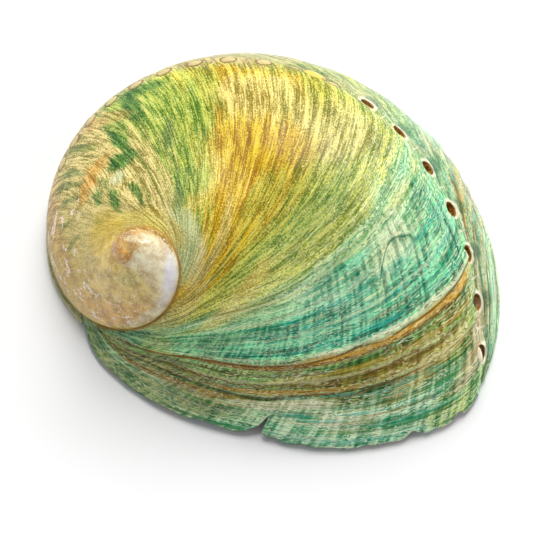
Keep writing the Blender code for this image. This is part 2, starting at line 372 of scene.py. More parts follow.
# Lines along the growth: colour, line age in degrees, reach, softness, strength, and the places across
# where they start and end.
LINES = (
    (0xC08E04, 24.3, 1.1, 0.4, 0.95, 0.02, 0.6),
    (0xE8BC4A, 24.3, 1.0, 0.4, 0.95, 0.52, 0.96),
    (0x8E6A00, 23.2, 0.35, 0.3, 0.8, 0.3, 0.94),
    (0xFFF6DC, 26.0, 0.5, 0.5, 0.8, 0.5, 0.96),
    (0xECECC8, 26.6, 0.3, 0.4, 0.6, 0.08, 0.5),
    (0xB89404, 15.4, 0.8, 0.4, 0.9, 0.3, 0.62),
    (0x8A6C08, 17.6, 0.4, 0.35, 0.8, 0.05, 0.9),
    (0x7C6A08, 20.8, 0.4, 0.35, 0.7, 0.1, 0.8),
    (0xF4ECC0, 18.6, 0.35, 0.4, 0.6, 0.15, 0.85),
    (0xD8B448, 20.0, 0.6, 0.5, 0.6, 0.55, 0.95),
    (0xECF0CC, 34.0, 0.4, 0.5, 0.5, 0.3, 0.9),
    (0xECF0CC, 41.5, 0.5, 0.6, 0.5, 0.2, 0.9),
    (0xF0EEC0, 49.0, 0.5, 0.6, 0.5, 0.1, 0.9),
    (0xE4BC5C, 20.0, 0.6, 0.6, 0.7, 1.0, 2.0),
    (0xD0A85C, 8.5, 0.5, 0.6, 0.6, 1.0, 2.0),
)
# Painted shade for grooves below growth steps, folds and pleats, and a painted highlight for their crests.
GROOVE_SHADE_COLOUR = 0x468470
GROOVE_SHADE_BROWN = 0x8A6C24
CREST_HIGHLIGHT_COLOUR = 0xEFF0D2
# Painted sparkle highlights: small flecks on the back and curls on the old whorls.
SPARKLE_HIGHLIGHT_COLOUR = 0xFFFAE6
GLINT_COLOUR = 0xFFF6C4
TIDE_GOLD = 0xC8A04C
TIDE_TEAL = 0x50CABC
TIDE_CREAM = 0xF0EEBC
PORE_SHADE = 0x1C6A44
AMBER_COLOUR = 0xE8BC24
# Painted highlights: pale dashes on the old whorls.
DASH_HIGHLIGHT_COLOUR = 0xFFF2E8
WALL_BLOTS = (0xA4985C, 0xE2DAB2)
RIM_COLOUR = 0xD2A048
PORE_RIM_COLOUR = 0xE6DFC8
PLUG_COLOUR = 0xDCCBA0
CALLUS_COLOUR = 0xFFD680
SCAR_COLOUR = 0xE8F0CC
PLUG_RING_COLOUR = 0x8C6A34
LINING_DARK = 0x6A4412
LINING_LIGHT = 0xC8943C
NACRE_COLOURS = (
    (0.3, 0xB8C8C4),
    (0.42, 0xD8C0C8),
    (0.5, 0xDCDCD8),
    (0.58, 0xA8CCBC),
    (0.68, 0xB4BCD8),
    (0.8, 0xD8D4C8),
)
DEPTH = 1.4
SWAY_DEGREES = 90.0
GROOVE_SHARP = 0.1
FOLD_LEVELS = (0.34, 0.39, 0.44, 0.49, 0.54, 0.59, 0.64)
SPARKLE_HIGHLIGHT_STRENGTH = 0.45
BACK_BUMP = 0.3
LAST_OPEN = len(PORE_AGES) - 1
PORE_SHADE_ASIDE = 2.3

# Camera: turned from looking along +Y, raised and rolled, in degrees. It sees VIEW_WIDTH at the shell.
VIEW_AZIMUTH = 38.0
VIEW_ELEVATION = 66.0
VIEW_ROLL = 2.5
VIEW_WIDTH = 95.94 * MM
VIEW_SHIFT = (-2.98 * MM, -5.7 * MM)
LENS = 700.0
SENSOR = 36.0

# Floor and light. Each lamp: name, strength, width in degrees, the direction it shines from as seen by
# the camera (right, up and towards it), and whether it shows as a gloss.
FLOOR_SIZE = 14.0
FLOOR_COLOUR = (0.81, 0.81, 0.81)
SKY_COLOUR = 0xFFFFFF
SKY_LOW = 0.65
SKY_HIGH = 0.28
SKY_FADE = (0.08, 0.45)
LAMPS = (
    ("key", 1.1, 22.0, (0.05, 0.95, 1.0), True),
    ("soft", 3.0, 46.0, (0.15, 1.5, 0.45), False),
    ("side", 1.9, 22.0, (1.0, 0.3, 0.02), True),
)


# --- Growth law ---------------------------------------------------------------------------------------


def ramp(value, start, end):
    """0 before start, 1 after end, and a smooth rise between them."""
    share = np.clip((value - start) / (end - start), 0.0, 1.0)
    return share * share * (3.0 - 2.0 * share)


def coil_axis():
    sideways = np.sin(AXIS_TILT)
    return np.array((sideways * np.cos(AXIS_HEADING), sideways * np.sin(AXIS_HEADING), np.cos(AXIS_TILT)))


def turned_back(points, ages):
    """Points of the present lip, each where it was when the shell was younger by its angle."""
    axis = coil_axis()
    ages = np.asarray(ages, float)[:, None]
    arms = points - APEX
    along = np.outer(arms @ axis, axis)
    turned = along + (arms - along) * np.cos(ages) + np.cross(axis, arms) * np.sin(ages)
    return APEX + turned * np.exp(-(SHRINK * ages + SHRINK_QUICKENING * ages * ages))


def keel(ages):
    return turned_back(np.broadcast_to(KEEL_START, (len(ages), 3)), ages)


def outer_lip():
    """A fine line along the present lip, evenly spaced from the suture to the keel."""
    plan = np.array([(x, y, EDGE_HEIGHT / MM) for x, y in LIP_PLAN]) * MM
    points = np.vstack((keel(np.array([WHORL_LAG])), plan, KEEL_START))
    ends = np.vstack((2 * points[0] - points[1], points, 2 * points[-1] - points[-2]))
    t = np.linspace(0.0, 1.0, CURVE_STEPS, endpoint=False)[:, None]
    pieces = []
    for a, b, c, d in zip(ends, ends[1:], ends[2:], ends[3:]):
        bend = (2 * a - 5 * b + 4 * c - d) * t**2
        twist = (3 * b - a - 3 * c + d) * t**3
        pieces.append(0.5 * (2 * b + (c - a) * t + bend + twist))
    dense = np.vstack(pieces + [points[-1:]])
    dense[:, 2] = np.maximum(dense[:, 2], EDGE_HEIGHT)
    length = np.concatenate(([0.0], np.cumsum(np.linalg.norm(np.diff(dense, axis=0), axis=1))))
    return length / length[-1], dense


def back_points(ages, across):
    """Points of the back: across runs from 0 at the suture to 1 at the keel."""
    share, line = outer_lip()
    start = np.stack([np.interp(across, share, line[:, axis]) for axis in range(3)], axis=1)
    first = np.broadcast_to(line[0], start.shape)
    pull = ((1.0 - across) ** 2)[:, None]
    return turned_back(start, ages) + pull * (keel(ages + WHORL_LAG) - turned_back(first, ages))


def outward(ages):
    """Level directions away from the coil, square to the keel."""
    step = keel(ages + SMALL_TURN) - keel(ages - SMALL_TURN)
    side = np.stack((step[:, 1], -step[:, 0], np.zeros(len(ages))), axis=1)
    return side / np.linalg.norm(side, axis=1)[:, None]


def rim_height(ages):
    start, end = ARCH_SPAN
    share = np.clip((ages - start) / (end - start), 0.0, 1.0)
    return EDGE_HEIGHT + ARCH_HEIGHT * np.sin(np.pi * share) ** 2


def wall_points(ages, down):
    """Points of the side wall: down runs from 0 at the keel to 1 at the edge."""
    top = keel(ages)
    drop = top[:, 2] - rim_height(ages)
    share = WALL_SPREAD_AT_LIP + (WALL_SPREAD_AT_SPIRE - WALL_SPREAD_AT_LIP) * ramp(ages, *WALL_SPREAD_FADE)
    spread = drop * share + SPIRE_FLARE * ramp(ages, *SPIRE_FLARE_SPAN)
    out_share = down + WALL_ROUNDNESS * (np.sin(down * np.pi / 2) - down)
    drop_share = down + WALL_ROUNDNESS * (1.0 - np.cos(down * np.pi / 2) - down)
    points = top + outward(ages) * (out_share * spread)[:, None]
    points[:, 2] -= drop_share * drop
    return points


# --- Net ----------------------------------------------------------------------------------------------


class Net:
    """Points, each with its age and its place across the whorl (1 to 2 on the wall), and the faces."""

    def __init__(self):
        self.ages = []
        self.across = []
        self.faces = []

    def line(self, age, places):
        first = len(self.ages)
        self.ages.extend([age] * len(places))
        self.across.extend(places)
        return list(range(first, first + len(places)))

    def strip(self, newer, older, between=()):
        """Faces between two lines. The newer line may have more points, and so may the end of the strip."""
        ratio = (len(newer) - 1) // (len(older) - 1)
        last = len(older) - 2
        for spot in range(last + 1):
            corners = newer[spot * ratio : (spot + 1) * ratio + 1]
            corners = corners + (list(between) if spot == last else []) + [older[spot + 1], older[spot]]
            self.faces.append(tuple(dict.fromkeys(corners)))


def build_net(ages, columns, wall_places, spire_skips, end_age):
    """The net of one side of the shell, with the loop of points along its edge."""
    net = Net()
    rows = [net.line(age, columns) for age in ages[:-1]]
    rows.append(net.line(ages[-1], columns[:-1]) + [rows[0][0]])
    walls = [[rows[0][-1]] * (len(wall_places) + 1)]
    for age, row in zip(ages[1:], rows[1:]):
        walls.append([row[-1]] + net.line(age, wall_places))
    for lines in (rows, walls):
        for newer, older in zip(lines, lines[1:]):
            net.strip(newer, older)
    edge = rows[0] + [line[-1] for line in walls[1:]] + walls[-1][-2:0:-1]

    whorl = rows
    for row_skip, column_skip in spire_skips:
        columns = columns[::column_skip]
        suture = [row[0] for row in whorl]
        turn = [whorl[-1]]
        turn_ages = [ages[-1]]
        for spot in range(row_skip, len(suture), row_skip):
            age = ages[spot] + WHORL_LAG
            if age > end_age:
                break
            own = net.line(age, columns[:-1]) + [suture[spot]]
            net.strip(turn[-1], own, suture[spot - row_skip + 1 : spot])
            turn.append(own)
            turn_ages.append(age)
        rest = suture[spot - row_skip :] if age > end_age else suture[-1:]
        whorl = turn
        ages = np.array(turn_ages)
    hole = rest[:-1] + [row[0] for row in whorl] + whorl[-1][1:-1]
    nucleus = net.line(ages[-1], [0.5])[0]
    for a, b in zip(hole, hole[1:] + hole[:1]):
        net.faces.append((a, b, nucleus))
    return net, edge, hole, nucleus


def crowded_places():
    """Places of the columns on the back, closer together where the surface has small features."""
    fine = np.linspace(0.0, 1.0, 2001)
    density = np.ones_like(fine)
    for place, width, extra in COLUMN_CROWDS:
        density += extra * np.exp(-(((fine - place) / width) ** 2))
    total = np.concatenate(([0.0], np.cumsum((density[1:] + density[:-1]) / 2)))
    return np.interp(np.linspace(0.0, total[-1], BACK_COLUMNS + 1), total, fine)


def places_of(ages, across, hole, nucleus):
    """Where the points of a net lie, before any fine relief."""
    points = back_points(ages, np.minimum(across, 1.0))
    on_wall = across > 1.0
    points[on_wall] = wall_points(ages[on_wall], across[on_wall] - 1.0)
    points[nucleus] = points[hole].mean(axis=0)
    return points


def edges_of(faces):
    pairs = []
    for face in faces:
        pairs.extend(zip(face, face[1:] + face[:1]))
    return np.unique(np.sort(np.array(pairs), axis=1), axis=0)


def with_neighbours(values, ends):
    """The sum of each point's values and those of the points next to it."""
    total = values.copy()
    for axis in range(values.shape[1]):
        total[:, axis] += np.bincount(ends[:, 0], values[ends[:, 1], axis], len(values))
        total[:, axis] += np.bincount(ends[:, 1], values[ends[:, 0], axis], len(values))
    return total


def even_normals(points, faces, rounds):
    """Outward directions of the points, evened out over their neighbours."""
    normals = np.zeros_like(points)
    for face in faces:
        corners = points[list(face)]
        centre = corners.mean(axis=0)
        normals[list(face)] += np.cross(corners - centre, np.roll(corners, -1, axis=0) - centre).sum(axis=0)
    normals /= np.linalg.norm(normals, axis=1)[:, None]
    ends = edges_of(faces)
    for _ in range(rounds):
        total = with_neighbours(normals, ends)
        normals = total / np.linalg.norm(total, axis=1)[:, None]
    return normals


def above_surroundings(heights, faces):
    """How far each point stands above the points round it."""
    ends = edges_of(faces)
    evened = heights[:, None]
    shares = with_neighbours(np.ones_like(evened), ends)
    for _ in range(STEP_ROUNDS):
        evened = with_neighbours(evened, ends) / shares
    return heights - evened[:, 0]


def level_inward(corners):
    """Level directions from the points of an edge loop towards the inside of the shell."""
    along = np.roll(corners, -1, axis=0) - np.roll(corners, 1, axis=0)
    side = np.stack((-along[:, 1], along[:, 0], np.zeros(len(corners))), axis=1)
    return side / np.linalg.norm(side, axis=1)[:, None]


# --- Relief -------------------------------------------------------------------------------------------


def lattice(x, y, seed):
    """A fixed pseudo-random number from 0 to 1 for each pair of whole numbers."""
    mixed = (x * 374761393 + y * 668265263 + seed * 69069 + 1013904223) & 0xFFFFFFFF
    mixed = ((mixed ^ (mixed >> 13)) * 1274126177) & 0xFFFFFFFF
    return (mixed ^ (mixed >> 16)) / 0xFFFFFFFF


def noise(x, y, seed):
    """Smooth noise from -1 to 1, with a feature about every unit of x and y."""
    x, y = np.broadcast_arrays(np.asarray(x, float), np.asarray(y, float))
    column, row = np.floor(x).astype(np.int64), np.floor(y).astype(np.int64)
    u, v = x - column, y - row
    u, v = u * u * (3 - 2 * u), v * v * (3 - 2 * v)
    low = lattice(column, row, seed) * (1 - u) + lattice(column + 1, row, seed) * u
    high = lattice(column, row + 1, seed) * (1 - u) + lattice(column + 1, row + 1, seed) * u
    return 2 * (low * (1 - v) + high * v) - 1


def worn_ages(ages, across):
    """Ages of the net's rows, moved back where the lip is worn and chipped."""
    place = np.minimum(across, 1.0)
    recess = 0.35 * (1 + noise(place * 26, 0, 3)) + 0.25 * (1 + noise(place * 70, 0, 4))
    for centre, width, depth in LIP_CHIPS:
        recess = recess + depth * np.exp(-(((place - centre) / width) ** 2))
    span = RECESS_SPAN + 2 * recess
    worn = ages + np.radians(recess) * np.clip(1.0 - np.degrees(ages) / span, 0.0, 1.0) ** 2
    return worn + FOOT_REACH * np.clip(across - 1.0, 0.0, 1.0) * ramp(np.degrees(ages), *FOOT_SPAN)


def line_age(ages, across):
    """Age in degrees along the shell's own growth lines."""
    degrees = np.degrees(ages)
    bulge = sum(height * ramp(degrees, start, end) for height, start, end in BULGE_STEPS)
    start, end = BULGE_SPAN
    bulge = bulge * (1.0 - ramp(across, start, end + BULGE_SPREAD * ramp(degrees, 150.0, 200.0)))
    hook = HOOK * np.exp(-across / HOOK_WIDTH) * ramp(degrees, 0.0, 25.0)
    down = np.clip(across - 1.0, 0.0, 1.0)
    shear = WALL_SHEAR * (1 - np.exp(-2.0 * down)) * ramp(degrees, 0.0, 30.0)
    return degrees - bulge + hook - shear


def growth_distance(degrees):
    """Length grown since then, in mm at the middle of the back. Lengths shrink towards the spire."""
    return FRONT_SPEED / SHRINK * (1 - np.exp(-SHRINK * np.radians(degrees)))


def pore_frames():
    """For every pore: its centre on the keel, and the directions along the row and away from the shell."""
    closed_ages, closed_places = np.array(CLOSED_PORES).T
    ages = np.concatenate((PORE_AGES, np.radians(closed_ages)))
    path = keel(ages - SMALL_TURN) - keel(ages + SMALL_TURN)
    ahead = path / np.linalg.norm(path, axis=1)[:, None]
    side = outward(ages)
    count = len(PORE_AGES)
    drift = np.interp(np.arange(count), (0, count - 1), PORE_DRIFT)
    centres = keel(ages) + side * np.append(drift, np.zeros(len(ages) - count))[:, None]
    centres[count:] = back_points(ages[count:], closed_places)
    return centres, ahead, side


def pore_place(points):
    """For every point: the count of the nearest pore, and how far along the row and aside from it, in mm."""
    centres, ahead, side = pore_frames()
    nearest = np.full(len(points), np.inf)
    found = np.zeros((len(points), 3))
    for count, centre in enumerate(centres):
        across_row = np.cross(ahead[count], UP_TILT[0] * side[count] + UP_TILT[1] * UPRIGHT)
        gap = points - centre
        away = np.linalg.norm(gap, axis=1)
        closer = away < nearest
        nearest[closer] = away[closer]
        found[closer, 0] = count
        found[closer, 1] = gap[closer] @ ahead[count] / MM
        found[closer, 2] = gap[closer] @ across_row / MM
    return found


def lamellae(distance, across, spacing, seed):
    """Overlapping growth layers: a sharp step up to each older layer, and a slow fall behind it."""
    layer = (distance + 0.6 * noise(distance / 3.1, across * 9, seed)) / spacing
    return 1.0 - (layer - np.floor(layer))


def relief(ages, across, pores):
    """Height of the fine relief over the smooth surface, in mm."""
    degrees = line_age(ages, across)
    distance = growth_distance(degrees)
    young = np.exp(-np.maximum(degrees, 0) / 55.0)
    spire = ramp(np.degrees(ages), 200.0, 280.0)
    size = np.exp(-SHRINK * ages)

    height = 0.26 * noise(distance / 8.0, across * 4, 11) * size
    height += 0.3 * young * noise(distance / 2.8, across * 9, 16)
    ridges = noise(distance / 1.5, across * 6, 12) + 0.6 * noise(distance / 0.7, across * 11, 13)
    height += (0.02 + 0.15 * young) * ridges * (1 - spire)
    patchy = ramp(noise(distance / 4.0, across * 7, 14), -0.2, 0.7)
    height += 0.3 * young * patchy * lamellae(distance, across, 2.1, 15)
    for age, step in CHECKS:
        past = degrees - age - 0.8 * noise(across * 16, 0, int(age))
        height += step * ramp(past, -0.25, 0.25) * np.exp(-np.maximum(past, 0.0) / 4.0)
    height += scar_relief(degrees, across)
    height += pore_relief(*pores.T)
    return height * (1 - 0.7 * spire) + dome_relief(np.degrees(ages), across)


def dome_relief(degrees, across):
    """The old whorl rises from its seam like half a pearl."""
    core = ramp(degrees, *DOME_CORE)
    return DOME_HEIGHT * ramp(degrees, *DOME_AGES) * (1 - ramp(across, *DOME_SHOULDER) * (1 - core))


def scar_relief(degrees, across):
    """A healed wound: pleats spreading from an arched line towards the lip."""
    bend = np.where(across < SCAR_PLACE, SCAR_ARCH_LEFT, SCAR_ARCH_RIGHT)
    arch = SCAR_AGE - bend * ((across - SCAR_PLACE) / SCAR_WIDTH) ** 2
    within = np.exp(-(((across - SCAR_PLACE) / SCAR_WIDTH) ** 4))
    behind = degrees - arch
    place = (across - 0.0012 * behind) / PLEAT_SPACING
    pleats = np.sin(2 * np.pi * (place + 0.35 * noise(place * 0.6, behind / 9.0, 21)))
    pleats = pleats * ramp(noise(place, behind / 6.0, 22), -0.5, 0.5)
    fade = ramp(behind, -8.0, -3.0) * (1 - ramp(behind, -0.8, 0.0))
    step = ramp(behind, -0.3, 0.3) * np.exp(-np.maximum(behind, 0.0) / 3.0)
    return within * (PLEAT_HEIGHT * pleats * fade + SCAR_STEP * step)


def pore_relief(count, along, aside):
    """Low rims round the open pores, and plugs that fill the closed ones."""
    reach = np.sqrt((along / (PORE_LENGTH / MM / 2)) ** 2 + (aside / (PORE_WIDTH / MM / 2)) ** 2)
    is_open = count < len(PORE_AGES) - 0.5
    rim = np.exp(-(((reach - 1.15) / 0.45) ** 2))
    swell = np.exp(-((reach / 2.2) ** 2))
    plug = 0.10 * np.exp(-((reach / 0.8) ** 4)) - 0.06 * np.exp(-(((reach - 1.1) / 0.3) ** 2))
    callus = np.round(count) == CALLUS
    plug = np.where(callus, 0.5 * np.exp(-((reach / 1.5) ** 4)), plug)
    return np.where(is_open, 0.14 * rim + 0.16 * swell, 0.12 * swell + plug)


# --- Shell --------------------------------------------------------------------------------------------


def smooth_side(ages, columns, walls, spire_skips, end_age):
    """One side before any relief: ages and places of its points, where they lie, faces and edge loop."""
    net, edge, hole, nucleus = build_net(ages, columns, walls, spire_skips, end_age)
    across = np.array(net.across)
    aged = worn_ages(np.array(net.ages), across)
    return aged, across, places_of(aged, across, hole, nucleus), net.faces, edge


def facts_of(aged, across, pores, step):
    """What the material reads at each point, by name."""
    lines = line_age(aged, across)
    return {"across": across, "age": np.degrees(aged), "line_age": lines, "pores": pores, "step": step}


def outer_side(ages, columns, walls):
    """The outside with its relief: points, what the material reads at each, faces and edge loop."""
    aged, across, smooth, faces, edge = smooth_side(ages, columns, walls, SPIRE_SKIPS, OUTER_END_AGE)
    pores = pore_place(smooth)
    pores[np.degrees(aged) > PORE_ROW_END, 2] += FAR_ASIDE
    height = relief(aged, across, pores)
    height[edge] *= EDGE_RELIEF_SHARE
    points = smooth + even_normals(smooth, faces, RELIEF_SMOOTHING) * height[:, None] * MM
    points[edge, 2] = np.maximum(points[edge, 2], EDGE_HEIGHT)
    facts = facts_of(aged, across, pores, above_surroundings(height, faces))
    return points, facts, faces, edge, smooth[edge]


def inner_side(ages, columns, walls):
    """The inside: the smooth outside moved in by the thickness of the shell."""
    aged, across, smooth, faces, edge = smooth_side(ages, columns, walls, INNER_SPIRE_SKIPS, INNER_END_AGE)
    thickness = LIP_THICKNESS + (WALL_THICKNESS - LIP_THICKNESS) * ramp(aged, 0.0, LIP_TAPER)
    points = smooth - even_normals(smooth, faces, INNER_SMOOTHING) * thickness[:, None]
    points[:, 2] = np.maximum(points[:, 2], LEAST_CLEARANCE)
    lying = edge[: len(edge) - len(walls) + 1]
    shelf = ramp(aged[lying], *SHELF_RISE) * (1.0 - ramp(aged[lying], *SHELF_FALL))
    land = LIP_LAND + (SHELF_WIDTH - LIP_LAND) * shelf
    inward = level_inward(smooth[edge])[: len(lying)]
    points[lying] = smooth[lying] + inward * land[:, None] - (0.0, 0.0, EDGE_HEIGHT)
    return points, facts_of(aged, across, pore_place(smooth), np.zeros(len(points))), faces, edge


def edge_loops(corners, smooth, inner_edge, inner_spots):
    """The rounded edge of the outside, and the foot under it, for every point of the outer edge."""
    inward = level_inward(smooth)
    drop = np.array((0.0, 0.0, EDGE_HEIGHT))
    rounded = corners + inward * RIM_ROUNDING - drop * ROUNDED_DROP
    foot = corners + inward * LIP_CHAMFER - drop
    climb = np.arange(len(corners)) > inner_spots[-WALL_COLUMNS // INNER_COLUMN_SKIP]
    spots = np.arange(len(corners))[climb]
    loop = np.append(inner_spots, len(corners))
    closed = np.vstack((inner_edge, inner_edge[:1]))
    inside = np.stack([np.interp(spots, loop, closed[:, axis]) for axis in range(3)], axis=1)
    rounded[climb] = corners[climb] * (1 - ROUNDED_CLIMB) + inside * ROUNDED_CLIMB
    foot[climb] = corners[climb] * (1 - FOOT_CLIMB) + inside * FOOT_CLIMB
    return rounded, foot


def make_skin():
    """The whole shell as one closed mesh. Its faces are 0 on the outside and 1 on the inside."""
    share = np.linspace(0.0, 1.0, BODY_ROWS + 1)
    ages = WHORL_LAG * (ROW_STRETCH**share - 1) / (ROW_STRETCH - 1)
    columns = list(crowded_places())
    walls = list(1.0 + np.linspace(0.0, 1.0, WALL_COLUMNS + 1)[1:] ** WALL_CROWDING)
    outer, facts, faces, edge, smooth_edge = outer_side(ages, columns, walls)
    step, skip = INNER_ROW_SKIP, INNER_COLUMN_SKIP
    inner, inner_facts, inner_faces, inner_edge = inner_side(
        ages[::step], columns[::skip], walls[skip - 1 :: skip]
    )

    lip_spots = list(range(0, BACK_COLUMNS + 1, skip))
    side_spots = [BACK_COLUMNS + spot for spot in range(step, BODY_ROWS + 1, step)]
    climb_spots = [side_spots[-1] + spot for spot in range(skip, WALL_COLUMNS, skip)]
    spots = lip_spots + side_spots + climb_spots
    rounded, foot = edge_loops(outer[edge], smooth_edge, inner[inner_edge], np.array(spots))

    inner_first = len(outer)
    rounded_first = inner_first + len(inner)
    foot_first = rounded_first + len(edge)
    all_faces = list(faces)
    all_faces += [tuple(inner_first + corner for corner in reversed(face)) for face in inner_faces]
    sides = [0] * len(faces) + [1] * len(inner_faces)
    around = list(range(len(edge)))
    for here, there in zip(around, around[1:] + around[:1]):
        all_faces.append((edge[there], edge[here], rounded_first + here, rounded_first + there))
        all_faces.append((rounded_first + there, rounded_first + here, foot_first + here, foot_first + there))
        sides += [0, 1]
    for spot, (start, end) in enumerate(zip(spots, spots[1:] + [len(edge)])):
        feet = [foot_first + index % len(edge) for index in range(end, start - 1, -1)]
        following = inner_edge[(spot + 1) % len(inner_edge)]
        all_faces.append(tuple(feet + [inner_first + inner_edge[spot], inner_first + following]))
        sides.append(1)

    points = np.vstack((outer, inner, rounded, foot))
    points = np.clip(points, np.array(CAD_LOW), np.array(CAD_HIGH))
    read = {}
    for name, values in facts.items():
        read[name] = np.concatenate((values, inner_facts[name], values[edge], values[edge]))
    return points, all_faces, sides, read


def make_pore_cutter(lining):
    """Oval pegs through the open pores. Each opens upwards and then leans into the hollow of the shell."""
    turn = np.linspace(0.0, 2 * np.pi, PORE_SIDES, endpoint=False)
    points = []
    faces = []
    for centre, ahead, side in list(zip(*pore_frames()))[: len(PORE_AGES)]:
        first = len(points)
        for lean, rise, size in PEG_RINGS:
            axis = side * np.sin(lean) + UPRIGHT * np.cos(lean)
            axis -= ahead * axis.dot(ahead)
            axis /= np.linalg.norm(axis)
            width = np.cross(axis, ahead)
            middle = centre + axis * rise
            oval = np.outer(np.cos(turn), ahead * PORE_LENGTH / 2)
            oval += np.outer(np.sin(turn), width * PORE_WIDTH / 2)
            points.extend((middle + oval * size).tolist())
        rings = [list(range(start, start + PORE_SIDES)) for start in range(first, len(points), PORE_SIDES)]
        faces += [rings[0][::-1], rings[-1]]
        for lower, upper in zip(rings, rings[1:]):
            following = zip(lower, lower[1:] + lower[:1], upper[1:] + upper[:1], upper)
            faces += [list(corners) for corners in following]
    mesh = bpy.data.meshes.new("pore_pegs")
    mesh.from_pydata(points, [], faces)
    mesh.materials.append(lining)
    return add_object("pore_pegs", mesh)


def add_object(name, data):
    added = bpy.data.objects.new(name, data)
    bpy.context.scene.collection.objects.link(added)
    return added


def mesh_from(points, faces, sides):
    mesh = bpy.data.meshes.new("shell_skin")
    mesh.from_pydata(points.tolist(), [], faces)
    mesh.shade_smooth()
    mesh.polygons.foreach_set("material_index", sides)
    return mesh


def write_facts(mesh, points, faces, read):
    """Stores at every point what the material reads, carried over from the mesh before the pores were cut."""
    tree = BVHTree.FromPolygons([Vector(point) for point in points], faces)
    weights = np.zeros((len(mesh.vertices), max(map(len, faces))))
    corners = np.zeros(weights.shape, int)
    sunk = []
    for vertex in mesh.vertices:
        spot, _, face, away = tree.find_nearest(vertex.co)
        sunk.append(away / MM)
        around = faces[face]
        shares = poly_3d_calc([Vector(points[corner]) for corner in around], spot)
        weights[vertex.index, : len(around)] = shares
        corners[vertex.index, : len(around)] = around
    for name, values in read.items():
        flat = values.reshape(len(values), -1)
        carried = np.einsum("vc,vcd->vd", weights, flat[corners])
        kind = "FLOAT" if flat.shape[1] == 1 else "FLOAT_VECTOR"
        attribute = mesh.attributes.new(name, kind, "POINT")
        attribute.data.foreach_set("value" if kind == "FLOAT" else "vector", carried.ravel())
    mesh.attributes.new("sunk", "FLOAT", "POINT").data.foreach_set("value", sunk)


def make_shell(back, nacre, lining):
    points, faces, sides, read = make_skin()
    whole = add_object("shell_whole", mesh_from(points, faces, sides))
    for material in (back, nacre):
        whole.data.materials.append(material)
    cutter = make_pore_cutter(lining)
    cut = whole.modifiers.new("pores", "BOOLEAN")
    cut.operation = "DIFFERENCE"
    cut.solver = "MANIFOLD"
    cut.material_mode = "TRANSFER"
    cut.object = cutter
    graph = bpy.context.evaluated_depsgraph_get()
    mesh = bpy.data.meshes.new_from_object(whole.evaluated_get(graph))
    mesh.name = "abalone_skin"
    write_facts(mesh, points, faces, read)
    for helper in (whole, cutter):
        bpy.data.objects.remove(helper, do_unlink=True)
    return add_object("abalone_skin", mesh)


# --- Paint --------------------------------------------------------------------------------------------


def tint(code):
    """Linear colour of a display colour written as 0xRRGGBB."""
    parts = np.array((code >> 16 & 255, code >> 8 & 255, code & 255)) / 255.0
    return tuple(np.where(parts <= 0.04045, parts / 12.92, ((parts + 0.055) / 1.055) ** 2.4).tolist())


class Signal:
    """A value that nodes work out at every point. It takes part in sums as a number does."""

    def __init__(self, nodes, socket):
        self.nodes = nodes
        self.socket = socket

    def __add__(self, other):
        return self.nodes.math("ADD", self, other)

    def __sub__(self, other):
        return self.nodes.math("SUBTRACT", self, other)

    def __rsub__(self, other):
        return self.nodes.math("SUBTRACT", other, self)

    def __mul__(self, other):
        return self.nodes.math("MULTIPLY", self, other)

    __radd__ = __add__

    def __abs__(self):
        return self.nodes.math("ABSOLUTE", self)

    def step(self, start, end):
        """0 at start, 1 at end, and smooth between them."""
        low, high = ((start, 0.0), (end, 1.0)) if end > start else ((end, 1.0), (start, 0.0))
        inputs = {"Value": self, "From Min": low[0], "From Max": high[0], "To Min": low[1], "To Max": high[1]}
        smooth = {"interpolation_type": "SMOOTHSTEP", "clamp": False}
        return self.nodes.node("ShaderNodeMapRange", inputs, "Result", **smooth)

    def band(self, middle, reach, soft):
        """1 within reach of the middle, and 0 beyond the soft edge."""
        return abs(self - middle).step(reach + soft, max(reach - soft, 0.0))


